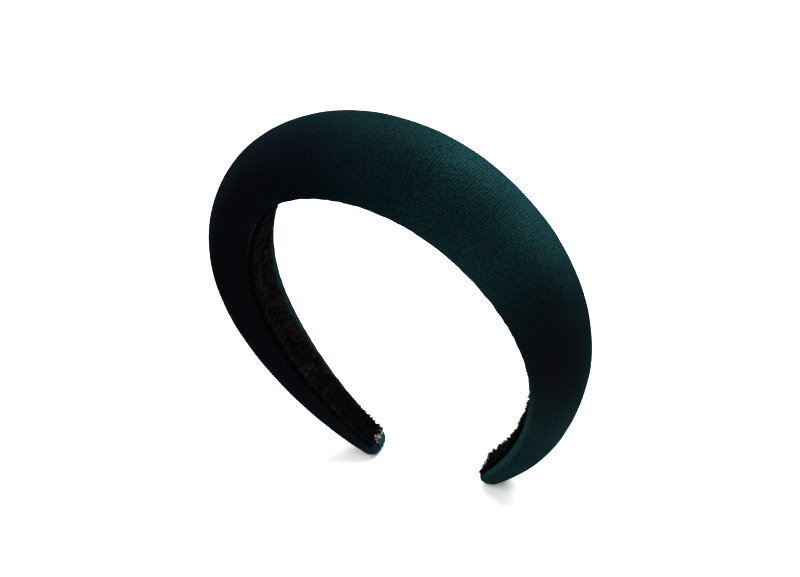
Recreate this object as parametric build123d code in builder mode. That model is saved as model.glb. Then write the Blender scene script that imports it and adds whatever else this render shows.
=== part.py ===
from build123d import *
from math import pi, sin, sqrt
import os

# A padded headband, in millimetres. It stands on its two tips. The hoop lies in the XZ plane, +Y runs
# across the band towards the back of the head, and the origin is on the floor midway between the tips.
# Every piece is drawn as a right half, which starts just off the crown plane, and mirrored for the left.

# Hoop: the head-side face of the cover, three tangent arcs from the crown to the tip
CROWN_HEIGHT = 151.92       # head-side face at the crown, above the floor
CROWN_RADIUS, CROWN_SWEEP = 55, 46
SIDE_RADIUS, SIDE_SWEEP = 74, 56
TIP_RADIUS, TIP_SWEEP = 125, 34
HALF_GAP = 0.15             # from the crown plane to the start of each half

# Cover: padded section, widest and thickest at the crown
CROWN_WIDTH, TIP_WIDTH = 40, 10.8
CROWN_THICKNESS, TIP_THICKNESS = 20.3, 7.9
TAPER_POWER = 2.1           # how late along the arm the band narrows
ARM_FULLNESS = {"right": 0.06, "left": -0.12}    # share by which hand padding widens the middle of each arm
WIDEST_SHARE = 0.25         # height of the widest line, as a share of the thickness
FLAT_SHARE = 0.76           # width of the flat head-side face, as a share of the width
TIP_ROUND = 3.2             # length over which the tip rounds off
TIP_END_WIDTH = 0.66        # width left at the blunt end, as a share
TIP_END_THICKNESS = 0.38
TIP_LIFT = 0.35             # share of the lost thickness that is lost on the head side
VELVET = 0.8                # pile and backing together
TIP_FOLD = 7.4              # length of closed velvet at the tip, before the slot between the hems
TIP_WALL = 2.2              # velvet in front of the pad's end

# Layers under the cover, by height above the head-side face
GLUE = 0.2
CORE = 2.0
TAPE = 0.2
CLEAR = 0.04                # between one layer and the next
SEAT = 0.12                 # between the cover and what is glued on its head side
HEM_TOP = VELVET
CORE_FLOOR = HEM_TOP + GLUE
CORE_TOP = CORE_FLOOR + CORE
TAPE_TOP = CORE_TOP + TAPE
CORE_CROWN_WIDTH, CORE_TIP_WIDTH = 25, 7.4
CORE_END = 4.6              # from the tip to the end of the core band
TAPE_END = 12
TAPE_MARGIN = 1.5           # by which the tape is narrower than the core band, on each side
GLUE_END = 8.4
GLUE_MARGIN = 0.4

# Slot between the two hems, and the ribbon glued over it
SLOT_CROWN_WIDTH, SLOT_TIP_WIDTH = 8, 2.4
RIBBON = 1.5
RIBBON_CROWN_WIDTH, RIBBON_TIP_WIDTH = 15, 10.2
RIBBON_END = 3.6
RIBBON_CORNER = 0.5
BEAD_LENGTH = 1.4           # hot-melt bead along the ribbon's end
BEAD_WIDTH = 6.4
BEAD_HEIGHT = 0.8

SECTIONS = 23               # loft sections along each half
TIP_SECTIONS = 3            # and over the rounded tip


with BuildLine(Plane.XZ) as hoop:
    crown_arc = JernArc((0, CROWN_HEIGHT), (1, 0), CROWN_RADIUS, -CROWN_SWEEP)
    side_arc = JernArc(crown_arc @ 1, crown_arc % 1, SIDE_RADIUS, -SIDE_SWEEP)
    tip_arc = JernArc(side_arc @ 1, side_arc % 1, TIP_RADIUS, -TIP_SWEEP)
hoop_path = hoop.wire()
HALF_LENGTH = hoop_path.length


def square_to_hoop(reach):
    """Plane at `reach` mm from the crown: x across the band, y away from the head."""
    share = reach / HALF_LENGTH
    return Plane(hoop_path.position_at(share), x_dir=(0, 1, 0), z_dir=hoop_path.tangent_at(share))


def taper(crown, tip, reach):
    """Size at `reach`, between its values at the crown and at the tip."""
    return tip + (crown - tip) * (1 - (reach / HALF_LENGTH) ** TAPER_POWER)


def stations(start, end, count=SECTIONS):
    """Reaches of `count` evenly spaced sections."""
    return [start + (end - start) * step / (count - 1) for step in range(count)]


def padded_section(reach, fullness, inset=0):
    """The cover's section at `reach`: flat head-side face, rounded shoulders, domed outside."""
    into_tip = max(0, (reach - HALF_LENGTH + TIP_ROUND) / TIP_ROUND)
    roundness = sqrt(1 - into_tip**2)
    full_thickness = taper(CROWN_THICKNESS, TIP_THICKNESS, reach)
    thickness = full_thickness * (TIP_END_THICKNESS + (1 - TIP_END_THICKNESS) * roundness)
    full_width = taper(CROWN_WIDTH, TIP_WIDTH, reach) * (1 + fullness * sin(pi * reach / HALF_LENGTH))
    half_width = full_width / 2 * (TIP_END_WIDTH + (1 - TIP_END_WIDTH) * roundness)
    floor = (full_thickness - thickness) * TIP_LIFT
    widest = floor + thickness * WIDEST_SHARE
    top = floor + thickness - inset
    flat = half_width * FLAT_SHARE
    shoulder = half_width - flat - inset
    drop = widest - floor - inset
    with BuildSketch(square_to_hoop(reach)) as section:
        with BuildLine():
            EllipticalCenterArc((0, widest), half_width - inset, top - widest, arc_size=180)
            EllipticalCenterArc((-flat, widest), shoulder, drop, start_angle=180)
            Line((-flat, floor + inset), (flat, floor + inset))
            EllipticalCenterArc((flat, widest), shoulder, drop, start_angle=270)
        make_face()
    return section.sketch


def strip_section(reach, low, high, width, centre=0):
    """A flat layer's section at `reach`, between two heights above the head-side face."""
    with BuildSketch(square_to_hoop(reach)) as section:
        with Locations((centre, (low + high) / 2)):
            Rectangle(width, high - low)
    return section.sketch


def padded_sections(fullness, end, inset=0):
    """Sections of the cover, or of a body inset from it, closer together where the tip rounds off."""
    arm_end = HALF_LENGTH - TIP_ROUND
    reaches = stations(HALF_GAP, arm_end)
    reaches += stations(arm_end, end, TIP_SECTIONS + 1)[1:]
    return [padded_section(reach, fullness, inset) for reach in reaches]


def strip_sections(low, high, widths, end, narrower=0):
    """Sections of a flat layer from the crown to `end` mm short of the tip."""
    reaches = stations(HALF_GAP, HALF_LENGTH - end)
    return [strip_section(reach, low, high, taper(*widths, reach) - narrower) for reach in reaches]


SLOT_WIDTHS = (SLOT_CROWN_WIDTH, SLOT_TIP_WIDTH)
CORE_WIDTHS = (CORE_CROWN_WIDTH, CORE_TIP_WIDTH)
RIBBON_WIDTHS = (RIBBON_CROWN_WIDTH, RIBBON_TIP_WIDTH)


def velvet_half(fullness):
    """Velvet cover: a hollow skin, open along the slot between its two hems."""
    with BuildPart() as cover:
        loft(padded_sections(fullness, HALF_LENGTH))
        loft(padded_sections(fullness, HALF_LENGTH - TIP_WALL, VELVET), mode=Mode.SUBTRACT)
        loft(strip_sections(-RIBBON, HEM_TOP + CLEAR, SLOT_WIDTHS, TIP_FOLD), mode=Mode.SUBTRACT)
    return cover.part


def foam_half(fullness):
    """Foam pad: fills the cover around and above the core band."""
    with BuildPart() as pad:
        loft(padded_sections(fullness, HALF_LENGTH - TIP_WALL - CLEAR, VELVET + CLEAR))
        channel = strip_sections(-RIBBON, TAPE_TOP + CLEAR, CORE_WIDTHS, CORE_END - CLEAR, -2 * CLEAR)
        loft(channel, mode=Mode.SUBTRACT)
    return pad.part


# Core band: the sprung hoop that grips the head
with BuildPart() as core_band:
    loft(strip_sections(CORE_FLOOR, CORE_TOP, CORE_WIDTHS, CORE_END))

# Double-sided tape between the core band and the foam pad
with BuildPart() as foam_tape:
    loft(strip_sections(CORE_TOP + CLEAR, TAPE_TOP, CORE_WIDTHS, TAPE_END, 2 * TAPE_MARGIN))


def hem_glue(side):
    """Sections of the adhesive film over one hem, from the slot's edge to the core band's edge."""
    sections = []
    for reach in stations(HALF_GAP, HALF_LENGTH - GLUE_END):
        inner = taper(*SLOT_WIDTHS, reach) / 2 + GLUE_MARGIN
        outer = taper(*CORE_WIDTHS, reach) / 2 - GLUE_MARGIN
        centre = side * (inner + outer) / 2
        sections.append(strip_section(reach, HEM_TOP + CLEAR, CORE_FLOOR - CLEAR, outer - inner, centre))
    return sections


# Hem adhesive: holds each turned-in edge of the velvet to the core band
with BuildPart() as hem_glue_front:
    loft(hem_glue(-1))
with BuildPart() as hem_glue_rear:
    loft(hem_glue(1))

# Ribbon adhesive: fills the slot between the hems
with BuildPart() as ribbon_glue:
    loft(strip_sections(CLEAR, CORE_FLOOR - CLEAR, SLOT_WIDTHS, GLUE_END, 2 * GLUE_MARGIN))

# Lining ribbon: over the slot and the edges of both hems
with BuildPart() as lining_ribbon:
    loft(strip_sections(-RIBBON, -SEAT, RIBBON_WIDTHS, RIBBON_END))
    long_edges = lining_ribbon.edges().filter_by(lambda edge: edge.length > HALF_LENGTH / 2)
    fillet(long_edges, RIBBON_CORNER)

# Hot-melt bead: a low dome across the ribbon's end
with BuildPart() as ribbon_end_bead:
    bead_reach = HALF_LENGTH - RIBBON_END + CLEAR + BEAD_LENGTH / 2
    across = square_to_hoop(bead_reach)
    along = Plane(across.origin, x_dir=across.z_dir, z_dir=across.x_dir)
    with BuildSketch(along):
        with BuildLine():
            EllipticalCenterArc((0, SEAT), BEAD_LENGTH / 2, BEAD_HEIGHT, arc_size=180)
            Line((-BEAD_LENGTH / 2, SEAT), (BEAD_LENGTH / 2, SEAT))
        make_face()
    extrude(amount=BEAD_WIDTH / 2, both=True)

inner_pieces = {
    "core_band": core_band,
    "foam_tape": foam_tape,
    "hem_glue_front": hem_glue_front,
    "hem_glue_rear": hem_glue_rear,
    "ribbon_glue": ribbon_glue,
    "lining_ribbon": lining_ribbon,
    "ribbon_end_bead": ribbon_end_bead,
}

os.makedirs("parts", exist_ok=True)
for side, fullness in ARM_FULLNESS.items():
    drawn = {name: piece.part for name, piece in inner_pieces.items()}
    drawn["velvet_cover"] = velvet_half(fullness)
    drawn["foam_pad"] = foam_half(fullness)
    for name, right in drawn.items():
        with BuildPart() as half:
            if side == "right":
                add(right)
            else:
                mirror(right, about=Plane.YZ)
        half.part.label = f"{name}_{side}"
        export_step(half.part, f"parts/{name}_{side}.step")
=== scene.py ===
import math

import bmesh
import bpy
import numpy as np
from mathutils import Matrix, Vector, noise
from mathutils.kdtree import KDTree


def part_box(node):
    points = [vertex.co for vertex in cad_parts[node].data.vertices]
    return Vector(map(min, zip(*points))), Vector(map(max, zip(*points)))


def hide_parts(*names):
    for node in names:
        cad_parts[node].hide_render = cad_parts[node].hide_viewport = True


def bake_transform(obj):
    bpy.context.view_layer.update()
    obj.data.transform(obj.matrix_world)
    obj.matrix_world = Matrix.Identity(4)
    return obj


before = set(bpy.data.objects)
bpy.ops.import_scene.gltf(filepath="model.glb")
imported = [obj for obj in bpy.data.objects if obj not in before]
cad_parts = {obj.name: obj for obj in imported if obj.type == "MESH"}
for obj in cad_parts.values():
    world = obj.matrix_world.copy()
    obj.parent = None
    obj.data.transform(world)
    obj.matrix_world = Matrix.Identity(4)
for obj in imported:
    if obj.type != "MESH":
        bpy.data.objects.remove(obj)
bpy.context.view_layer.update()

# ---------------------------------------------------------------- sizes, in metres, and angles, in degrees
MM = 0.001                  # one millimetre
HOOP_ARCS = ((55 * MM, 46), (74 * MM, 56), (125 * MM, 34))    # radius and sweep, from the crown to a tip
HALF_LENGTH = sum(radius * math.radians(sweep) for radius, sweep in HOOP_ARCS)
COVER_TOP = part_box("velvet_cover_right")[1].z
CROWN_WIDTH, TIP_WIDTH = 40 * MM, 10.8 * MM
CROWN_THICKNESS, TIP_THICKNESS = 20.3 * MM, 7.9 * MM
CROWN_HEIGHT = COVER_TOP - CROWN_THICKNESS
TAPER_POWER = 2.1
RIGHT_FULLNESS, LEFT_FULLNESS = 0.06, -0.12     # share by which hand padding widens the middle of each arm
WIDEST_SHARE, FLAT_SHARE = 0.25, 0.76
DOME_POWER = 2.12           # 2 is an ellipse; more is squarer
TIP_ROUND = 3.2 * MM
TIP_END_WIDTH, TIP_END_THICKNESS, TIP_LIFT = 0.66, 0.38, 0.35
TIP_FOLD = 7.4 * MM
VELVET = 0.8 * MM
PILE_PROUD = 0.55 * MM      # by which the pile stands off the outside
CLEAR = 0.04 * MM           # between one layer and the next
SLOT_WIDTHS = (8 * MM, 2.4 * MM)
CORE_WIDTHS = (25 * MM, 7.4 * MM)
RIBBON_WIDTHS = (15 * MM, 10.2 * MM)
RIBBON_END = 3.6 * MM
HEM_TOP, CORE_FLOOR, CORE_TOP, TAPE_TOP = 0.8 * MM, 1.0 * MM, 3.0 * MM, 3.2 * MM
CORE_END, GLUE_END, GLUE_MARGIN = 4.6 * MM, 8.4 * MM, 0.4 * MM
TAPE_END, TAPE_MARGIN = 12 * MM, 1.5 * MM
FOAM_INSET = VELVET + CLEAR
TIP_WALL = 2.2 * MM         # velvet in front of the pad's end
FOAM_REACH_SHARE = 1 - (TIP_WALL + CLEAR) / HALF_LENGTH


# ---------------------------------------------------------------- the hoop
def hoop(reach):
    """Head-side face at signed distances from the crown: x, z, and the outward direction's x and z."""
    distance = np.abs(reach)
    side = np.where(reach < 0, -1.0, 1.0)
    x, z, angle = np.zeros_like(distance), np.full_like(distance, CROWN_HEIGHT), np.zeros_like(distance)
    begin, heading = 0.0, 0.0
    for radius, sweep in HOOP_ARCS:
        turn = np.clip((distance - begin) / radius, 0, math.radians(sweep))
        x += radius * (np.sin(heading + turn) - math.sin(heading))
        z -= radius * (math.cos(heading) - np.cos(heading + turn))
        angle += turn
        begin += radius * math.radians(sweep)
        heading += math.radians(sweep)
    return x * side, z, np.sin(angle) * side, np.cos(angle)


def place(reach, across, out, ahead=0.0):
    """Points in the row frame from distance along the hoop, position across it and height off its face."""
    reach, across, out, ahead = np.broadcast_arrays(reach, across, out, ahead)
    x, z, out_x, out_z = hoop(reach)
    ahead = ahead * np.where(reach < 0, -1.0, 1.0)
    return np.stack([x + out * out_x + ahead * out_z, across, z + out * out_z - ahead * out_x], -1)


def locate(points):
    """The opposite of place(): distance along the hoop, position across it and height off its face."""
    x, z = np.abs(points[:, 0]), points[:, 2]
    centre_x, centre_z, begin, heading = 0.0, CROWN_HEIGHT - HOOP_ARCS[0][0], 0.0, 0.0
    reach, out = np.zeros_like(x), np.zeros_like(x)
    beyond = np.ones(len(x), bool)
    for number, (radius, sweep) in enumerate(HOOP_ARCS):
        angle = np.arctan2(x - centre_x, z - centre_z)
        reach[beyond] = begin + radius * (angle[beyond] - heading)
        out[beyond] = np.hypot(x - centre_x, z - centre_z)[beyond] - radius
        begin += radius * math.radians(sweep)
        heading += math.radians(sweep)
        beyond = beyond & (angle > heading)
        if number + 1 < len(HOOP_ARCS):
            shift = radius - HOOP_ARCS[number + 1][0]
            centre_x += shift * math.sin(heading)
            centre_z += shift * math.cos(heading)
    return reach * np.where(points[:, 0] < 0, -1.0, 1.0), points[:, 1].copy(), out


def taper(sizes, reach):
    """Size between its values at the crown and at the tip."""
    crown, tip = sizes
    share = np.clip(np.abs(reach) / HALF_LENGTH, 0, 1)
    return tip + (crown - tip) * (1 - share**TAPER_POWER)


def smooth(low, high, value):
    """0 below low, 1 above high, easing between them."""
    t = np.clip((value - low) / (high - low), 0, 1)
    return t * t * (3 - 2 * t)


def tip_fullness(reach):
    """1 along the arm, falling to 0 as the tip rounds off."""
    into_tip = np.clip((np.abs(reach) - HALF_LENGTH + TIP_ROUND) / TIP_ROUND, 0, 1)
    return np.sqrt(1 - into_tip**2)


def cover_shape(reach, inset=0.0):
    """Half width, floor, widest height, top and half flat width of the cover's section."""
    fullness = tip_fullness(reach)
    full_thickness = taper((CROWN_THICKNESS, TIP_THICKNESS), reach)
    thickness = full_thickness * (TIP_END_THICKNESS + (1 - TIP_END_THICKNESS) * fullness)
    padding = np.where(np.asarray(reach) > 0, RIGHT_FULLNESS, LEFT_FULLNESS)
    padding = padding * np.sin(math.pi * np.clip(np.abs(reach) / HALF_LENGTH, 0, 1))
    full_width = taper((CROWN_WIDTH, TIP_WIDTH), reach) * (1 + padding)
    half_width = full_width / 2 * (TIP_END_WIDTH + (1 - TIP_END_WIDTH) * fullness)
    floor = (full_thickness - thickness) * TIP_LIFT
    widest = floor + thickness * WIDEST_SHARE
    return half_width - inset, floor + inset, widest, floor + thickness - inset, half_width * FLAT_SHARE


# ---------------------------------------------------------------- mesh helpers
def mesh_object(name, points, faces):
    mesh = bpy.data.meshes.new(name)
    mesh.from_pydata(np.asarray(points).reshape(-1, 3).tolist(), [], faces)
    mesh.validate()
    piece = bpy.data.objects.new(name, mesh)
    bpy.context.scene.collection.objects.link(piece)
    mesh.shade_smooth()
    return piece


def tube_faces(rings, columns):
    """Quads of a closed tube, ring by ring."""
    faces = []
    for ring in range(rings - 1):
        for column in range(columns):
            after = (column + 1) % columns
            low, high = ring * columns, (ring + 1) * columns
            faces.append((low + column, high + column, high + after, low + after))
    return faces


def write_mesh(work, mesh):
    """Turns every face of a bmesh outwards, and writes it to the mesh, shaded smooth."""
    bmesh.ops.recalc_face_normals(work, faces=work.faces)
    work.to_mesh(mesh)
    work.free()
    mesh.shade_smooth()


def close_ends(piece, rings, columns):
    """Closes both ends of a tube, and turns every face outwards."""
    work = bmesh.new()
    work.from_mesh(piece.data)
    work.verts.ensure_lookup_table()
    last = (rings - 1) * columns
    work.faces.new([work.verts[column] for column in range(columns)])
    work.faces.new([work.verts[last + column] for column in range(columns - 1, -1, -1)])
    write_mesh(work, piece.data)


def add_cloth_coordinates(piece, of_vertex):
    """A UV layer in metres on the flat cloth, from one pair for each vertex."""
    loops = np.empty(len(piece.data.loops), int)
    piece.data.loops.foreach_get("vertex_index", loops)
    layer = piece.data.uv_layers.new(name="cloth")
    layer.data.foreach_set("uv", of_vertex[loops].ravel())


def give_each_point(piece, name, values):
    """Stores a number with each point of the mesh, for its material to read."""
    layer = piece.data.attributes.new(name, "FLOAT", "POINT")
    layer.data.foreach_set("value", values)


def apply_modifiers(piece):
    """Replaces a piece's mesh with its evaluated one."""
    bpy.context.view_layer.update()
    graph = bpy.context.evaluated_depsgraph_get()
    evaluated = piece.evaluated_get(graph)
    made = bpy.data.meshes.new_from_object(evaluated, preserve_all_data_layers=True, depsgraph=graph)
    piece.modifiers.clear()
    old = piece.data
    piece.data = made
    made.name = piece.name
    bpy.data.meshes.remove(old)


def coordinates(piece):
    co = np.empty(len(piece.data.vertices) * 3)
    piece.data.vertices.foreach_get("co", co)
    return co.reshape(-1, 3)


def set_coordinates(piece, co):
    piece.data.vertices.foreach_set("co", np.asarray(co).ravel())
    piece.data.update()


def normals(piece):
    out = np.empty(len(piece.data.vertices) * 3)
    piece.data.vertices.foreach_get("normal", out)
    return out.reshape(-1, 3)


def waves(position, lengths, seed):
    """Irregular 1-D waviness about 0, of the given wavelengths."""
    rng = np.random.default_rng(seed)
    total = np.zeros_like(position)
    for length in lengths:
        wander = 0.35 * np.sin(position * 2 * math.pi / (length * 5.3) + rng.uniform(0, 6.28))
        total += np.sin((position / length + wander) * 2 * math.pi + rng.uniform(0, 6.28))
    return total / len(lengths)


def rumple(points, scale, seed):
    """Smooth 3-D noise about 0 at each point, with features about `scale` across."""
    shift = Vector((seed * 7.31, seed * 3.17, seed * 5.71))
    return np.array([noise.noise(Vector(p) / scale + shift) for p in points])


# ---------------------------------------------------------------- velvet cover
HEM_COLUMNS, SHOULDER_COLUMNS, DOME_COLUMNS, SLOT_COLUMNS = 5, 5, 30, 6
COVER_STEP = 2.4 * MM
TIP_RINGS, CAP_RINGS = 6, 4
CAP_BULGE, CAP_STEP = 0.5 * MM, 0.4 * MM
VELVET_SKIN = 0.7 * MM      # the velvet without the tips of its pile
PLEAT_PITCH, PLEAT_SPREAD = 2.3 * MM, 4.2 * MM
SIM_SCALE, SIM_FRAMES, MOST_MOVED = 20, 20, 0.7 * MM


def padded_section(shape, opening, flat_columns, dome_columns):
    """Across and out of a padded section, from the front edge of its opening over the dome to the rear edge.
    The shape is what cover_shape() gives, and the opening is a half width."""
    half_width, floor, widest, top, flat = shape
    across, out = [], []
    for step in range(flat_columns):
        share = step / flat_columns
        across.append(-(opening + (flat - opening) * share))
        out.append(floor)
    for step in range(SHOULDER_COLUMNS):
        angle = math.pi / 2 * step / SHOULDER_COLUMNS
        across.append(-(flat + (half_width - flat) * math.sin(angle)))
        out.append(widest - (widest - floor) * math.cos(angle))
    front = len(across)
    for step in range(dome_columns + 1):
        angle = math.pi * step / dome_columns
        cosine, sine = math.cos(angle), math.sin(angle)
        across.append(-half_width * math.copysign(abs(cosine) ** (2 / DOME_POWER), cosine))
        out.append(widest + (top - widest) * max(sine, 0) ** (2 / DOME_POWER))
    across += [-position for position in across[:front][::-1]]
    out += out[:front][::-1]
    return across, out


def cover_ring(reach):
    """Across and out of the cover's section, starting at the front edge of the slot and going round."""
    shape = cover_shape(reach)
    _, floor, _, _, flat = shape
    slot = np.minimum(taper(SLOT_WIDTHS, reach) / 2, flat * 0.6)
    across, out = padded_section(shape, slot, HEM_COLUMNS, DOME_COLUMNS)
    for step in range(1, SLOT_COLUMNS):
        across.append(slot * (1 - 2 * step / SLOT_COLUMNS))
        out.append(floor)
    return np.array(across), np.array(out)


def cover_reaches():
    """Signed distances of the rings from the left tip to the right tip."""
    arm_end = HALF_LENGTH - TIP_ROUND
    count = round(arm_end / COVER_STEP)
    arm = [arm_end * step / count for step in range(count + 1)]
    tip = [arm_end + TIP_ROUND * math.sin(math.pi / 2 * step / TIP_RINGS) for step in range(1, TIP_RINGS + 1)]
    right = arm + tip
    return [-reach for reach in right[:0:-1]] + right


def build_cover_skin():
    """The cover's outer face as a closed tube with rounded ends, and its cloth coordinates."""
    rings, reaches = [], cover_reaches()
    for reach in reaches:
        across, out = cover_ring(reach)
        rings.append(place(reach, across, out))
    columns = len(rings[0])
    for end in (-1, 1):
        across, out = cover_ring(end * HALF_LENGTH)
        middle = (out.max() + out.min()) / 2
        caps = []
        for step in range(1, CAP_RINGS + 1):
            turn = math.pi / 2 * step / (CAP_RINGS + 0.6)
            size, bulge = math.cos(turn), CAP_BULGE * math.sin(turn)
            caps.append(place(end * HALF_LENGTH, across * size, middle + (out - middle) * size, bulge))
        if end < 0:
            rings = caps[::-1] + rings
            reaches = [-HALF_LENGTH - step * CAP_STEP for step in range(CAP_RINGS, 0, -1)] + reaches
        else:
            rings = rings + caps
            reaches = reaches + [HALF_LENGTH + step * CAP_STEP for step in range(1, CAP_RINGS + 1)]
    faces = tube_faces(len(rings), columns)
    faces.append(tuple(range(columns)))
    last = (len(rings) - 1) * columns
    faces.append(tuple(last + column for column in range(columns - 1, -1, -1)))
    piece = mesh_object("velvet_cover", rings, faces)
    # cloth coordinates: metres along the hoop, and metres round the section from halfway round it
    points = np.array(rings)
    closed = np.concatenate([points, points[:, :1]], 1)
    steps = np.linalg.norm(np.diff(closed, axis=1), axis=2)
    round_it = np.concatenate([np.zeros((len(rings), 1)), np.cumsum(steps, 1)], 1)
    layer = piece.data.uv_layers.new(name="cloth")
    for polygon in piece.data.polygons:
        loops = list(polygon.loop_indices)
        columns_here = [piece.data.loops[i].vertex_index % columns for i in loops]
        wraps = max(columns_here) - min(columns_here) == columns - 1 and len(loops) == 4
        for i, column in zip(loops, columns_here):
            ring = piece.data.loops[i].vertex_index // columns
            at = columns if wraps and column == 0 else column
            layer.data[i].uv = (reaches[ring], round_it[ring, at] - round_it[ring, -1] / 2)
    return piece, columns, reaches


def settle_cover(piece):
    """Cloth simulation: the velvet is glued along its head side, and the foam inside pushes it outwards.
    It runs SIM_SCALE times as large, because so small a piece is too stiff for the pressure to show.
    Returns the points as they were and how far each one moved."""
    rest = coordinates(piece)
    reach, _, out = locate(rest)
    _, floor, widest, _, _ = cover_shape(reach)
    hold = 1 - smooth(0.1, 0.75, (out - floor) / np.maximum(widest - floor, 1e-6))
    hold = np.maximum(hold, smooth(HALF_LENGTH - 9 * MM, HALF_LENGTH - 5 * MM, np.abs(reach)))
    glued = piece.vertex_groups.new(name="glued")
    for index, weight in enumerate(hold):
        glued.add([index], float(weight), "REPLACE")
    set_coordinates(piece, rest * SIM_SCALE)
    cloth = piece.modifiers.new("Cloth", "CLOTH")
    settings = cloth.settings
    settings.quality = 5
    settings.mass = 0.3
    settings.tension_stiffness = settings.compression_stiffness = settings.shear_stiffness = 5
    settings.bending_stiffness = 0.5
    settings.use_pressure = True
    settings.uniform_pressure_force = 5
    settings.vertex_group_mass = "glued"
    settings.effector_weights.gravity = 0
    cloth.collision_settings.use_collision = False
    cloth.point_cache.frame_start, cloth.point_cache.frame_end = 1, SIM_FRAMES
    scene = bpy.context.scene
    for step in range(1, SIM_FRAMES + 1):
        scene.frame_set(step)
    apply_modifiers(piece)
    scene.frame_set(1)
    moved = coordinates(piece) / SIM_SCALE - rest
    length = np.linalg.norm(moved, axis=1)
    moved *= np.minimum(1, MOST_MOVED / np.maximum(length, 1e-9))[:, None]
    set_coordinates(piece, rest + moved)
    piece.vertex_groups.clear()
    return rest, moved


def subdivide(piece, levels):
    surface = piece.modifiers.new("Subdivision", "SUBSURF")
    surface.levels = surface.render_levels = levels
    apply_modifiers(piece)


def build_cover():
    """The velvet, and where each point of its outer face was and how far it moved as it settled."""
    cover, columns, reaches = build_cover_skin()
    rest, moved = settle_cover(cover)
    open_slot(cover, columns, reaches)
    subdivide(cover, 1)
    set_coordinates(cover, coordinates(cover) + gathers(coordinates(cover), normals(cover)))
    reach, across, out = locate(coordinates(cover))
    half_width, floor, _, top, _ = cover_shape(reach)
    height = (out - floor) / (top - floor)
    # "fold" marks where painted sheen goes: the right arm's inner edge, and the left arm's hem beside the
    # ribbon
    inner_edge = smooth(0.6, 0.9, -across / half_width) * (1 - smooth(0.05, 0.25, height))
    beside_ribbon = -across - taper(RIBBON_WIDTHS, np.abs(reach)) / 2
    hem_sheen_mask = smooth(-1.2 * MM, 0.3 * MM, beside_ribbon) * (1 - smooth(0.8 * MM, 3.4 * MM, beside_ribbon))
    fold = np.where(reach < 0, hem_sheen_mask * (1 - smooth(0.1, 0.3, height)), inner_edge)
    give_each_point(cover, "fold", fold)
    skin = cover.modifiers.new("Thickness", "SOLIDIFY")
    skin.thickness = VELVET_SKIN
    skin.offset = -1
    apply_modifiers(cover)
    return cover, rest, moved


def open_slot(cover, columns, reaches):
    """Deletes the faces between the two hems, short of the tip folds."""
    first = 2 * HEM_COLUMNS + 2 * SHOULDER_COLUMNS + DOME_COLUMNS
    work = bmesh.new()
    work.from_mesh(cover.data)
    work.verts.ensure_lookup_table()
    doomed = []
    for face in work.faces:
        if len(face.verts) != 4:
            continue
        rings = {vertex.index // columns for vertex in face.verts}
        here = {vertex.index % columns for vertex in face.verts}
        in_slot = all(column >= first or column == 0 for column in here)
        if in_slot and max(abs(reaches[ring]) for ring in rings) < HALF_LENGTH - TIP_FOLD:
            doomed.append(face)
    bmesh.ops.delete(work, geom=doomed, context="FACES")
    work.to_mesh(cover.data)
    work.free()


def gathers(points, outward):
    """Small folds where the velvet turns round the hoop's inner edges, which fade out over the dome, and
    pleats at the tips, as moves along the outward direction."""
    reach, across, out = locate(points)
    half_width, floor, _, top, _ = cover_shape(reach)
    height = (out - floor) / (top - floor)
    near_edge = smooth(0.35, 0.95, np.abs(across) / half_width) * (1 - smooth(0.25, 0.7, height))
    hem = 1 - smooth(0, 0.3, height)
    front = waves(reach, (7.5 * MM, 4.7 * MM, 11 * MM), 3)
    rear = waves(reach, (6.9 * MM, 5.1 * MM, 12 * MM), 4)
    folds = np.where(across < 0, front, rear)
    dents = rumple(points, 16 * MM, 1) * 0.6 + rumple(points, 7 * MM, 2) * 0.25
    arm = 1 - smooth(HALF_LENGTH - 12 * MM, HALF_LENGTH - 2 * MM, np.abs(reach))
    lift = 0.14 * MM * folds * np.maximum(near_edge, 0.3 * hem) + 0.25 * MM * dents * (1 - hem)
    lift = lift * (0.25 + 0.75 * arm) + PILE_PROUD * (1 - hem)
    # pleats where the end of the velvet is folded in under the tip
    near_tip = smooth(HALF_LENGTH - 8 * MM, HALF_LENGTH - 3.5 * MM, np.abs(reach))
    fold = near_tip * (1 - smooth(0.3, 0.75, height))
    pleats = np.sin(across / PLEAT_PITCH * 2 * math.pi + 1.1 * np.sign(reach))
    pleats = pleats * np.exp(-(across / PLEAT_SPREAD) ** 2)
    lift += 0.2 * MM * fold * pleats
    return outward * np.maximum(lift, -0.12 * MM)[:, None]


# ---------------------------------------------------------------- lining ribbon
RIBBON_STEP = 0.42 * MM
PILE_COLUMNS, BACK_COLUMNS = 42, 9
PLAIT_PITCH = 3.2 * MM
RIBBON_PILE = 1.5 * MM      # usual height of the pile above the velvet
RIBBON_BACK = -0.05 * MM    # its back, just off the velvet
TUFTS = 14000
TUFT_RISE = 1.1             # what a tuft shows as its height, as a share of the pile's
TUFT_SUNK = 0.12 * MM       # depth of its foot in the pile


def ribbon_edge(reach, side):
    """Scallops of the ribbon's puckered edge, from -1 in the notches to 1."""
    uneven = waves(reach, (PLAIT_PITCH * 2.3, PLAIT_PITCH * 1.4), 12 + side)
    scallop = np.abs(np.sin(math.pi * (reach / PLAIT_PITCH + 0.5 * uneven))) ** 0.7
    return (2 * scallop - 1) * (0.8 + 0.2 * uneven)


def hem_drop(reach, across):
    """How far the cover's face curves away from the head beyond its flat part."""
    half_width, floor, widest, _, flat = cover_shape(reach)
    past = np.clip((np.abs(across) - flat) / np.maximum(half_width - flat, 1e-6), 0, 0.92)
    return floor + (widest - floor) * (1 - np.sqrt(1 - past**2))


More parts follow.
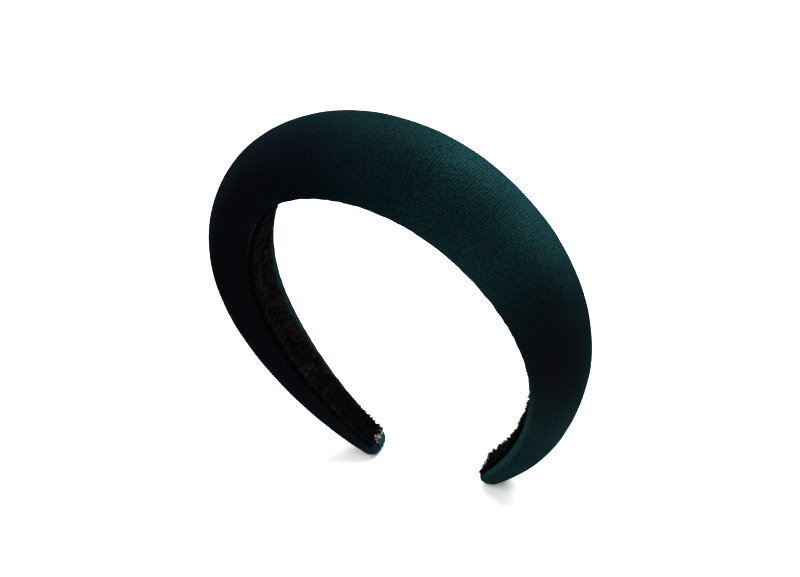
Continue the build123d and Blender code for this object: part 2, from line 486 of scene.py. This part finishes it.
def ribbon_face(reach, share):
    """Across position and height of the pile at `share` of the way from the middle to an edge. The pile
    lies in two rows of slanting clumps, which meet at a crease along the middle, and its edges stand up in
    ruffles. Low on the arms it is plumper, and its edges pucker together."""
    half = taper(RIBBON_WIDTHS, reach) / 2
    lower = smooth(0.5, 0.8, np.abs(reach) / HALF_LENGTH)
    pucker = ribbon_edge(reach, 0)
    edge = np.where(share < 0, ribbon_edge(reach, -1), ribbon_edge(reach, 1))
    edge = edge + (pucker - edge) * lower
    across = share * half + (0.15 + 0.45 * edge) * MM * np.abs(share) ** 3 * np.sign(share)
    flat_points = np.stack([reach, across, np.zeros_like(across)], -1).reshape(-1, 3)
    coarse = rumple(flat_points, 5.5 * MM, 4).reshape(across.shape)
    middle = rumple(flat_points, 2.0 * MM, 5).reshape(across.shape)
    fine = rumple(flat_points, 0.8 * MM, 6).reshape(across.shape)
    crease = share - 0.16 * np.sin(reach / (17 * MM)) - 0.1 * coarse
    phase = reach / PLAIT_PITCH + 0.75 * np.abs(crease) + 0.45 * coarse + 0.25 * middle
    clump = np.abs(np.sin(math.pi * phase)) ** 0.55
    row = smooth(0.0, 0.16, np.abs(crease))
    body = np.sqrt(np.clip(1 - np.abs(share) ** (5 + 4 * lower), 0, 1))
    ruffle = 0.5 * smooth(0.5, 0.85, np.abs(share)) + 0.75 * edge * smooth(0.72, 0.95, np.abs(share))
    near_tip = smooth(0.76, 0.92, np.abs(reach) / HALF_LENGTH)
    bumps = np.where(reach > 0, 0.6, 0.2) * pucker - 0.25
    ruffle = ruffle * (0.35 + 0.65 * lower) + lower * bumps - 0.3 * near_tip
    clumps = (0.6 - 0.2 * lower) * clump * row
    height = 0.16 + body * (0.75 + clumps + ruffle + 0.5 * coarse + 0.4 * middle + 0.35 * fine)
    return across, height * MM - hem_drop(reach, across)


def build_ribbon():
    end = HALF_LENGTH - RIBBON_END
    count = round(2 * end / RIBBON_STEP)
    line = np.linspace(-end, end, count + 1)
    share, reach = np.meshgrid(np.linspace(-1, 1, PILE_COLUMNS), line)
    across, height = ribbon_face(reach, share)
    half = taper(RIBBON_WIDTHS, line)[:, None] / 2
    back_share = np.linspace(1, -1, BACK_COLUMNS + 2)[None, 1:-1]
    back_reach = np.broadcast_to(line[:, None], (count + 1, BACK_COLUMNS))
    back = hem_drop(back_reach, back_share * half) + RIBBON_BACK
    rings = np.concatenate([place(reach, across, -height), place(back_reach, back_share * half, back)], 1)
    columns = PILE_COLUMNS + BACK_COLUMNS
    piece = mesh_object("lining_ribbon", rings, tube_faces(count + 1, columns))
    close_ends(piece, count + 1, columns)
    flat_map = np.zeros((count + 1, columns, 2))
    flat_map[:, :, 0] = line[:, None]
    flat_map[:, :PILE_COLUMNS, 1] = across
    flat_map[:, PILE_COLUMNS:, 1] = back_share * half
    add_cloth_coordinates(piece, flat_map.reshape(-1, 2))
    # the pile's height, which its material turns into painted shade in the hollows
    rise = np.zeros((count + 1, columns))
    rise[:, :PILE_COLUMNS] = (height + hem_drop(reach, across)) / RIBBON_PILE
    give_each_point(piece, "rise", rise.ravel())
    return piece


def build_tufts():
    """Loose fibre tufts over the ribbon, thicker along its two edges, each a small closed spike."""
    rng = np.random.default_rng(21)
    end = HALF_LENGTH - RIBBON_END
    reach = rng.uniform(-end, end, TUFTS)
    share = rng.uniform(-1, 1, TUFTS)
    at_edge = rng.random(TUFTS) < 0.4
    share = np.where(at_edge, np.sign(share) * (1 - 0.12 * np.abs(share)), share)
    across, height = ribbon_face(reach, share)
    stout = np.where(at_edge, 1.7, 1.0) + 0.8 * smooth(0.4, 0.7, reach / HALF_LENGTH)
    length = rng.uniform(0.25, 0.7, TUFTS) * MM * stout
    width = rng.uniform(0.05, 0.11, TUFTS) * MM * stout
    lean_across = rng.normal(0, 0.35, TUFTS) + share**3 * 0.9
    lean_along = rng.normal(0, 0.45, TUFTS)
    turn = rng.uniform(0, 2 * math.pi, TUFTS)
    corners = [turn + corner * 2 * math.pi / 3 for corner in range(3)]
    points, faces = [], []
    for angle in corners:
        along, sideways = reach + width * np.cos(angle), across + width * np.sin(angle)
        points.append(place(along, sideways, TUFT_SUNK - height))
    middle = 0.55 * length
    for angle in corners:
        along = reach + 0.7 * (lean_along * middle + width * np.cos(angle))
        sideways = across + 0.7 * (lean_across * middle + width * np.sin(angle))
        points.append(place(along, sideways, -height - middle))
    points.append(place(reach + lean_along * length, across + lean_across * length, -height - length))
    points = np.stack(points, 1)
    for tuft in range(TUFTS):
        a = tuft * 7
        faces.append((a, a + 2, a + 1))
        for corner in range(3):
            after = (corner + 1) % 3
            faces.append((a + corner, a + after, a + 3 + after, a + 3 + corner))
            faces.append((a + 3 + corner, a + 3 + after, a + 6))
    piece = mesh_object("lining_ribbon_pile", points, faces)
    # tufts stand above the pile, so they get the least painted shade
    give_each_point(piece, "rise", np.full(len(piece.data.vertices), TUFT_RISE))
    work = bmesh.new()
    work.from_mesh(piece.data)
    write_mesh(work, piece.data)
    return piece


# ---------------------------------------------------------------- layers inside the cover
STRIP_STEP = 2.5 * MM
END_STEPS = 6
PAD_FLAT_COLUMNS, PAD_DOME_COLUMNS = 4, 24


def strip_reaches(end, rounding):
    """Signed distances for a strip's rings, closer together where its ends round off."""
    start = HALF_LENGTH - end - rounding
    arm = np.linspace(0, start, round(start / STRIP_STEP) + 1)
    tip = start + rounding * np.sin(np.linspace(0, math.pi / 2, END_STEPS + 1)[1:-1])
    right = np.concatenate([arm, tip, [start + 0.998 * rounding]])
    return np.concatenate([-right[:0:-1], right])


def build_strip(name, low, high, edges, end, rounding, rim, wander=0.0, seed=0):
    """A thin layer between two heights off the head-side face, its corners rounded in plan and its edges
    in section. edges(reach) gives where its two long sides run."""
    reach = strip_reaches(end, rounding)
    near, far = edges(reach)
    into_end = np.clip((np.abs(reach) - (HALF_LENGTH - end - rounding)) / rounding, 0, 1)
    full = (far - near) / 2
    half = full - np.minimum(rounding, full * 0.8) * (1 - np.sqrt(1 - into_end**2))
    middle = (near + far) / 2
    across, out = [], []
    corner = [(math.sin(turn), math.cos(turn)) for turn in np.linspace(0, math.pi / 2, 4)]
    flat = [(share, 0.0, -1) for share in np.linspace(-1, 1, 7)]
    turn_up = [(1, x, -y) for x, y in corner[1:]] + [(1, x, y) for x, y in corner[-2:0:-1]]
    back = [(-share, 0.0, 1) for share, _, _ in flat]
    section = flat + turn_up + back + [(-1, -x, -y) for _, x, y in turn_up]
    for share, bulge, level in section:
        across.append(middle + (half - rim) * share + rim * bulge)
        centre = high - rim if level > 0 else low + rim
        out.append(np.full_like(reach, centre + rim * level))
    across, out = np.array(across).T, np.array(out).T
    grid = np.broadcast_to(reach[:, None], across.shape)
    if wander:
        flat_points = np.stack([grid, across, out], -1).reshape(-1, 3)
        across = across + wander * rumple(flat_points, 6 * MM, seed).reshape(across.shape)
    piece = mesh_object(name, place(grid, across, out), tube_faces(len(reach), across.shape[1]))
    close_ends(piece, len(reach), across.shape[1])
    return piece


def centred(widths, narrower=0.0):
    """Edges of a strip that lies along the middle of the band."""
    def edges(reach):
        half = (taper(widths, reach) - narrower) / 2
        return -half, half
    return edges


def over_hem(side):
    """Edges of the adhesive over one hem, from the slot to the core band's edge."""
    def edges(reach):
        inner = taper(SLOT_WIDTHS, reach) / 2 + GLUE_MARGIN
        outer = taper(CORE_WIDTHS, reach) / 2 - GLUE_MARGIN
        return (inner, outer) if side > 0 else (-outer, -inner)
    return edges


def build_foam():
    """The pad: domed like the cover, with a channel on its head side for the core band and the tape."""
    rings = []
    for cover_reach in cover_reaches():
        reach = cover_reach * FOAM_REACH_SHARE
        shape = cover_shape(reach, FOAM_INSET)
        _, floor, _, _, flat = shape
        channel = min(taper(CORE_WIDTHS, reach) / 2 + CLEAR, flat - 0.3 * MM)
        deep = max(TAPE_TOP + CLEAR, floor) if abs(reach) < HALF_LENGTH - CORE_END else floor
        across, out = padded_section(shape, channel, PAD_FLAT_COLUMNS, PAD_DOME_COLUMNS)
        across += [channel, channel / 3, -channel / 3, -channel]
        out += [deep] * 4
        rings.append(place(reach, np.array(across), np.array(out)))
    columns = len(rings[0])
    piece = mesh_object("foam_pad", rings, tube_faces(len(rings), columns))
    close_ends(piece, len(rings), columns)
    return piece


def follow(piece, rest, moved):
    """Moves a piece under the velvet as the velvet above it moved."""
    tree = KDTree(len(rest))
    for index, point in enumerate(rest):
        tree.insert(point, index)
    tree.balance()
    points = coordinates(piece)
    for index, point in enumerate(points):
        near = tree.find_n(point, 4)
        share = np.array([1 / (distance + 0.1 * MM) for _, _, distance in near])
        points[index] += share @ moved[[found for _, found, _ in near]] / share.sum()
    set_coordinates(piece, points)


# ---------------------------------------------------------------- hot-melt at the ribbon's ends
# Smears, in millimetres: along from the ribbon's end, across, then half length, half width and height
SMEARS = ((-0.2, 3.3, 0.5, 0.6, 0.6), (0.1, 1.7, 0.4, 0.4, 0.4), (-0.6, 0.3, 0.35, 0.45, 0.4))
SPECKS = 22


def build_bead(side, seed):
    """Smears and specks of squeezed-out adhesive along the ribbon's end, thicker at the rear, as one mesh."""
    rng = np.random.default_rng(seed)
    work = bmesh.new()
    at = HALF_LENGTH - RIBBON_END + 0.5 * MM
    blobs = [[size * MM for size in smear] for smear in SMEARS]
    for _ in range(SPECKS):
        along, across = rng.uniform(-2.0, 0.7) * MM, rng.uniform(-1.8, 4.2) * MM
        blobs.append((along, across, *(rng.uniform(0.12, 0.38, 3) * MM)))
    for along, across, long, wide, high in blobs:
        for vertex in bmesh.ops.create_icosphere(work, subdivisions=4, radius=1)["verts"]:
            lump = 1 + 0.4 * noise.noise(vertex.co * 1.9 + Vector((seed * 3.1, along * 900, across * 900)))
            lump += 0.16 * noise.noise(vertex.co * 5.3 + Vector((across * 700, seed, along * 800)))
            x, y, z = vertex.co * lump
            reach = np.array([side * (at + along + x * long)])
            floor = hem_drop(reach, np.array([across]))[0]
            proud = 0.15 * MM + 0.95 * MM * float(smooth(0, 0.5 * MM, -along))
            vertex.co = place(reach, across + y * wide, floor - proud - max(z, -0.25) * high)[0]
    mesh = bpy.data.meshes.new("glue_bead")
    write_mesh(work, mesh)
    bead = bpy.data.objects.new("glue_bead_right" if side > 0 else "glue_bead_left", mesh)
    bpy.context.scene.collection.objects.link(bead)
    return bead


# ---------------------------------------------------------------- materials
class Graph:
    """A material's node tree, with the Principled shader as `shader`."""

    def __init__(self, name):
        self.material = bpy.data.materials.new(name)
        self.material.use_nodes = True
        self.nodes = self.material.node_tree.nodes
        self.links = self.material.node_tree.links
        self.shader = self.nodes["Principled BSDF"]

    def feed(self, socket, value):
        """Links another node's output to a socket, or sets a plain value on it."""
        if isinstance(value, bpy.types.NodeSocket):
            self.links.new(value, socket)
        else:
            socket.default_value = value

    def add(self, kind, feeds=(), **settings):
        """Adds a node, with its settings, and feeds its inputs by name or number."""
        made = self.nodes.new("ShaderNode" + kind)
        for key, value in settings.items():
            setattr(made, key, value)
        for key, value in dict(feeds).items():
            self.feed(made.inputs[key], value)
        return made

    def math(self, operation, first, second=0.0):
        return self.add("Math", {0: first, 1: second}, operation=operation).outputs[0]

    def cloth(self):
        """Cloth coordinates in millimetres."""
        uv = self.add("UVMap", uv_map="cloth").outputs["UV"]
        return self.add("VectorMath", {0: uv, "Scale": 1000.0}, operation="SCALE").outputs[0]

    def place(self):
        """Coordinates on the object in millimetres."""
        point = self.add("TexCoord").outputs["Object"]
        return self.add("VectorMath", {0: point, "Scale": 1000.0}, operation="SCALE").outputs[0]

    def noise(self, vector, scale, detail=3.0, roughness=0.5, distortion=0.0):
        feeds = {"Vector": vector, "Scale": scale, "Detail": detail, "Roughness": roughness,
                 "Distortion": distortion}
        return self.add("TexNoise", feeds).outputs["Fac"]

    def scaled(self, value, by, plus):
        """value * by + plus"""
        made = self.add("Math", {0: value, 1: by, 2: plus}, operation="MULTIPLY_ADD")
        return made.outputs[0]

    def ramp(self, value, stops, curve="LINEAR"):
        made = self.add("ValToRGB", {"Fac": value})
        made.color_ramp.interpolation = curve
        elements = made.color_ramp.elements
        while len(elements) < len(stops):
            elements.new(0.5)
        for element, (position, colour) in zip(elements, stops):
            element.position = position
            element.color = (*colour, 1)
        return made.outputs["Color"]

    def grey_ramp(self, value, stops, curve="LINEAR"):
        """A ramp through plain levels, one for each position."""
        return self.ramp(value, [(position, (level,) * 3) for position, level in stops], curve)

    def mix(self, share, first, second):
        made = self.add("Mix", data_type="RGBA", blend_type="MIX")
        self.feed(made.inputs[0], share)
        self.feed(made.inputs[6], first if isinstance(first, bpy.types.NodeSocket) else (*first, 1))
        self.feed(made.inputs[7], second if isinstance(second, bpy.types.NodeSocket) else (*second, 1))
        return made.outputs[2]

    def bump(self, height, distance, strength=1.0, onto=None):
        made = self.add("Bump", {"Height": height, "Distance": distance, "Strength": strength})
        if onto is not None:
            self.links.new(onto, made.inputs["Normal"])
        return made.outputs["Normal"]

    def set(self, **values):
        """Feeds the shader's sockets, by their names with underscores for spaces."""
        for key, value in values.items():
            self.feed(self.shader.inputs[key.replace("_", " ")], value)


NAP_LEAN = 0.7              # how far the pile leans along the band, as a share of its height
RIB_PITCH = 0.82            # mm
# The ramps below lay the nap together with painted shade and painted sheen on the cloth.
PAINTED_LENGTH, PAINTED_GIRTH = 382, 96     # mm of cloth that the nap's ramps run over, along and round
PAINTED_TONE_GAIN = 3.8              # tone where both ramps are 1


def velvet_grain(g, cloth, along, around):
    """Ribs across the band, slightly askew, then the fine fibres, then the speckle of both together."""
    wander = g.math("MULTIPLY", g.noise(cloth, 0.12, 2.0), 1.2)
    askew = g.math("MULTIPLY", around, -0.12)
    rib_position = g.math("ADD", g.math("ADD", along, askew), wander)
    ribs = g.math("SINE", g.math("MULTIPLY", rib_position, 2 * math.pi / RIB_PITCH))
    fine = g.noise(cloth, 2.1, 3.0, 0.7)
    tufts = g.noise(cloth, 0.8, 3.0, 0.65)
    grain = g.scaled(g.math("ADD", g.math("MULTIPLY", fine, 6.5), g.math("MULTIPLY", tufts, 2.5)), 1.0, -3.5)
    grain = g.math("MAXIMUM", g.math("ADD", grain, g.math("MULTIPLY", ribs, 0.25)), 0.1)
    return ribs, fine, grain


def nap_with_painted_light(g, cloth, share, girth):
    """How light the velvet is painted: its brushed nap, with painted shade and painted sheen. Its share runs
    from 0 at the left tip to 1 at the right one, and its girth from 0 at the front hem over the dome to 1 at
    the rear hem."""
    # along the band, painted shade and light along with the nap: dark over the left arm, lighter to the right
    # of the crown, dark where the right arm starts, and lighter down to its tip
    level = g.grey_ramp(share, [(0.0, 0.42), (0.012, 0.2), (0.03, 0.03), (0.46, 0.025), (0.55, 0.16),
                                (0.64, 0.38), (0.69, 0.08), (0.76, 0.01), (0.82, 0.18), (0.88, 0.38),
                                (1.0, 0.34)], "B_SPLINE")
    # round it, painted shade and painted sheen: darkest at the front shoulder, lightest behind the top
    round_shade_and_sheen = g.grey_ramp(girth, [(0.04, 0.38), (0.14, 0.32), (0.28, 0.16), (0.38, 0.21), (0.46, 0.43),
                                    (0.57, 0.92), (0.7, 0.7), (0.95, 0.5)], "B_SPLINE")
    patches = g.scaled(g.noise(cloth, 0.05, 4.0, 0.6, 0.5), 1.4, 0.3)
    # the nap's patches times the painted shade and sheen
    nap_light_and_shade = g.math("MULTIPLY", g.math("MULTIPLY", level, g.math("MULTIPLY", round_shade_and_sheen, PAINTED_TONE_GAIN)), patches)
    # painted sheen on the turned-in edges, where the "fold" attribute marks them
    edge_sheen_along = g.grey_ramp(share, [(0.28, 0), (0.37, 0.45), (0.44, 0), (0.64, 0), (0.72, 0.12),
                                   (0.88, 0.38), (0.94, 0.5)], "EASE")
    painted_edge_sheen = g.math("MULTIPLY", edge_sheen_along, g.add("Attribute", attribute_name="fold").outputs["Fac"])
    # painted light on the outside of the left arm, from its front shoulder to its rear edge
    left_arm = g.grey_ramp(share, [(0.05, 0.08), (0.2, 0.24), (0.34, 0.26), (0.42, 0.08), (0.48, 0)], "EASE")
    away = g.grey_ramp(girth, [(0.26, 0), (0.34, 0.35), (0.45, 0.5), (0.62, 1), (0.95, 0.8)], "EASE")
    outside = g.math("MULTIPLY", g.math("MULTIPLY", left_arm, away), patches)
    return g.math("ADD", nap_light_and_shade, g.math("ADD", painted_edge_sheen, outside))


def leaning_normal(g):
    """The direction of a nap that leans along the band, from the left tip towards the right one."""
    along = g.add("Tangent", direction_type="UV_MAP", uv_map="cloth").outputs[0]
    lean = g.add("VectorMath", {0: along, "Scale": NAP_LEAN}, operation="SCALE").outputs[0]
    upright = g.add("NewGeometry").outputs["Normal"]
    leaning = g.add("VectorMath", {0: upright, 1: lean}, operation="ADD").outputs[0]
    return g.add("VectorMath", {0: leaning}, operation="NORMALIZE").outputs[0]


def velvet():
    """Ribbed velvet. Its light and dark are a brushed nap together with painted shade and painted sheen, laid
    on the cloth by where a point lies along the band and round it, so they don't shift with the light or the
    view as real shade, sheen or a real nap's would."""
    g = Graph("teal_velvet")
    cloth = g.cloth()
    parts = g.add("SeparateXYZ", {0: cloth})
    along, around = parts.outputs[0], parts.outputs[1]
    share = g.scaled(along, 1 / PAINTED_LENGTH, 0.5)
    girth = g.scaled(around, 1 / PAINTED_GIRTH, 0.5)
    ribs, fine, grain = velvet_grain(g, cloth, along, around)
    tone = g.math("MULTIPLY", nap_with_painted_light(g, cloth, share, girth), grain)
    on_arms = g.ramp(tone, [(0.0, (0.0022, 0.0009, 0.0018)), (0.1, (0.0023, 0.0043, 0.0053)),
                            (1.0, (0.0088, 0.037, 0.04))])
    on_crown = g.ramp(tone, [(0.0, (0.0016, 0.0007, 0.0016)), (0.06, (0.0012, 0.003, 0.0042)),
                             (1.0, (0.0075, 0.037, 0.04))])
    crown = g.grey_ramp(share, [(0.36, 0), (0.46, 1), (0.62, 1), (0.74, 0)], "EASE")
    pile = g.math("ADD", g.math("MULTIPLY", ribs, 0.3), g.math("MULTIPLY", grain, 0.8))
    normal = g.bump(pile, 0.00012, 0.8, leaning_normal(g))
    g.set(Base_Color=g.mix(crown, on_arms, on_crown), Roughness=g.scaled(fine, 0.2, 0.7), Normal=normal)
    g.set(Specular_IOR_Level=0.0, Sheen_Weight=0.006, Sheen_Roughness=0.3, Sheen_Tint=(0.1, 0.75, 0.85, 1))
    return g.material


def pile_ribbon():
    """Brown-black pile, with painted shade in its hollows, from the "rise" attribute."""
    g = Graph("brown_pile")
    at = g.place()
    fibres = g.noise(at, 2.2, 4.0, 0.75)
    clumps = g.noise(at, 0.5, 3.0)
    # painted shade: the lower the pile, the darker
    rise = g.scaled(g.add("Attribute", attribute_name="rise").outputs["Fac"], 0.28, -0.24)
    texture = g.math("ADD", g.math("MULTIPLY", fibres, 0.6), g.math("MULTIPLY", clumps, 0.4))
    tone = g.math("ADD", texture, rise)
    colour = g.ramp(tone, [(0.34, (0.0009, 0.0007, 0.0008)), (0.5, (0.0018, 0.0014, 0.0016)),
                           (0.7, (0.0085, 0.0068, 0.0078))])
    g.set(Base_Color=colour, Normal=g.bump(tone, 0.00025, 1.0), Roughness=0.9)
    g.set(Specular_IOR_Level=0.0, Sheen_Weight=0.002, Sheen_Roughness=0.5, Sheen_Tint=(0.8, 0.55, 0.55, 1))
    return g.material


def foam():
    g = Graph("cream_foam")
    at = g.place()
    cells = g.add("TexVoronoi", {"Vector": at, "Scale": 1.6, "Randomness": 1.0}).outputs["Distance"]
    blotch = g.noise(at, 0.08, 3.0)
    colour = g.mix(blotch, (0.80, 0.74, 0.58), (0.70, 0.62, 0.44))
    # painted shade in the pores: darker at the middle of each foam cell
    shaded_pores = g.mix(g.grey_ramp(cells, [(0.0, 1), (0.28, 0)]), colour, (0.42, 0.36, 0.25))
    g.set(Base_Color=shaded_pores, Normal=g.bump(cells, 0.0004, 0.8), Roughness=g.scaled(blotch, 0.1, 0.85))
    g.set(Specular_IOR_Level=0.2)
    return g.material


def core_plastic():
    g = Graph("core_abs")
    at = g.place()
    fine = g.noise(at, 3.0, 3.0)
    flow = g.noise(at, 0.06, 3.0, 0.5, 1.5)
    colour = g.mix(flow, (0.012, 0.012, 0.013), (0.03, 0.03, 0.032))
    g.set(Base_Color=colour, Normal=g.bump(fine, 0.00003, 0.5), Roughness=g.scaled(flow, 0.2, 0.32))
    return g.material


def tape():
    g = Graph("white_tape")
    at = g.place()
    fibre = g.noise(at, 1.4, 4.0, 0.7, 2.0)
    colour = g.mix(fibre, (0.82, 0.82, 0.78), (0.62, 0.62, 0.58))
    g.set(Base_Color=colour, Normal=g.bump(fibre, 0.00006, 0.6), Roughness=g.scaled(fibre, 0.3, 0.45))
    return g.material


def glue():
    g = Graph("hot_melt")
    at = g.place()
    cloud = g.noise(at, 0.9, 3.0)
    fine = g.noise(at, 4.0, 4.0, 0.6)
    colour = g.mix(cloud, (0.26, 0.25, 0.23), (0.05, 0.048, 0.046))
    g.set(Base_Color=colour, Normal=g.bump(fine, 0.00008, 0.6), Roughness=g.scaled(fine, 0.3, 0.3))
    return g.material


# ---------------------------------------------------------------- the pieces, put together
def whole(piece, node, material):
    """Finishes a piece: gives it its material and bakes its transform. A piece named after its node shows
    both halves that the CAD cuts it into."""
    piece.data.materials.clear()
    piece.data.materials.append(material)
    if piece.name == node:
        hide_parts(f"{node}_left", f"{node}_right")
    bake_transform(piece)
    return piece


clear_glue = glue()
brown = pile_ribbon()
cover, rest, moved = build_cover()
whole(cover, "velvet_cover", velvet())
pad = build_foam()
follow(pad, rest, moved)
set_coordinates(pad, coordinates(pad) + gathers(coordinates(pad), normals(pad)))
whole(pad, "foam_pad", foam())
ribbon = whole(build_ribbon(), "lining_ribbon", brown)
tufts = whole(build_tufts(), "lining_ribbon", brown)
core = build_strip("core_band", CORE_FLOOR, CORE_TOP, centred(CORE_WIDTHS), CORE_END,
                   rounding=3.4 * MM, rim=0.7 * MM)
whole(core, "core_band", core_plastic())
foam_tape = build_strip("foam_tape", CORE_TOP + CLEAR, TAPE_TOP, centred(CORE_WIDTHS, 2 * TAPE_MARGIN),
                        TAPE_END, rounding=0.5 * MM, rim=0.05 * MM)
whole(foam_tape, "foam_tape", tape())
for side, name in ((-1, "hem_glue_front"), (1, "hem_glue_rear")):
    hem_glue = build_strip(name, HEM_TOP + CLEAR, CORE_FLOOR - CLEAR, over_hem(side), GLUE_END,
                           rounding=0.6 * MM, rim=0.05 * MM, wander=0.5 * MM, seed=20 + side)
    whole(hem_glue, name, clear_glue)
slot_glue = build_strip("ribbon_glue", CLEAR, CORE_FLOOR - CLEAR, centred(SLOT_WIDTHS, 2 * GLUE_MARGIN),
                        GLUE_END, rounding=0.6 * MM, rim=0.3 * MM)
whole(slot_glue, "ribbon_glue", clear_glue)
for side, node in ((-1, "ribbon_end_bead_left"), (1, "ribbon_end_bead_right")):
    bead = whole(build_bead(side, 3 + side), node, clear_glue)
    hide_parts(node)


# ---------------------------------------------------------------- floor, light and camera
def build_stage():
    bpy.ops.mesh.primitive_plane_add(size=6, location=(0, 0, 0))
    floor = bpy.context.object
    floor.name = "floor"
    g = Graph("floor_white")
    g.set(Base_Color=(0.8, 0.8, 0.8, 1), Roughness=0.8)
    floor.data.materials.append(g.material)


def area_light(name, position, target, size, power):
    """A disk of light, its size in metres and its power in watts."""
    light = bpy.data.lights.new(name, "AREA")
    light.shape = "DISK"
    light.size, light.energy = size, power
    lamp = bpy.data.objects.new(name, light)
    bpy.context.scene.collection.objects.link(lamp)
    lamp.location = position
    lamp.rotation_euler = (Vector(target) - Vector(position)).to_track_quat("-Z", "Y").to_euler()


def set_light():
    middle = (0, 0, 0.08)
    area_light("key", (0.2, 0.7, 1.4), middle, 1.6, 60)
    area_light("overhead", (0.0, -0.1, 1.2), middle, 2.2, 20)
    world = bpy.data.worlds.new("studio")
    bpy.context.scene.world = world
    world.use_nodes = True
    world.node_tree.nodes["Background"].inputs["Color"].default_value = (1, 1, 1, 1)
    world.node_tree.nodes["Background"].inputs["Strength"].default_value = 1.0


CAMERA_AZIMUTH, CAMERA_ELEVATION, CAMERA_ROLL = 35.7, 39.4, -13.9
CAMERA_DISTANCE, CAMERA_LENS = 0.5753, 65.7
CAMERA_AIM = Vector((-0.0072, 0.0168, 0.0817))


def set_camera():
    azimuth, elevation = math.radians(CAMERA_AZIMUTH), math.radians(CAMERA_ELEVATION)
    level = math.cos(elevation)
    back = Vector((math.sin(azimuth) * level, -math.cos(azimuth) * level, math.sin(elevation)))
    right = (-back).cross(Vector((0, 0, 1))).normalized()
    up = right.cross(-back)
    roll = math.radians(CAMERA_ROLL)
    turned_right = right * math.cos(roll) + up * math.sin(roll)
    turned_up = up * math.cos(roll) - right * math.sin(roll)
    data = bpy.data.cameras.new("camera")
    data.lens, data.sensor_width, data.clip_start = CAMERA_LENS, 36, 0.01
    camera = bpy.data.objects.new("camera", data)
    bpy.context.scene.collection.objects.link(camera)
    rotation = Matrix((turned_right, turned_up, back)).transposed().to_4x4()
    camera.matrix_world = Matrix.Translation(CAMERA_AIM + back * CAMERA_DISTANCE) @ rotation
    bpy.context.scene.camera = camera


build_stage()
set_light()
set_camera()
bpy.context.scene.view_settings.view_transform = "Standard"
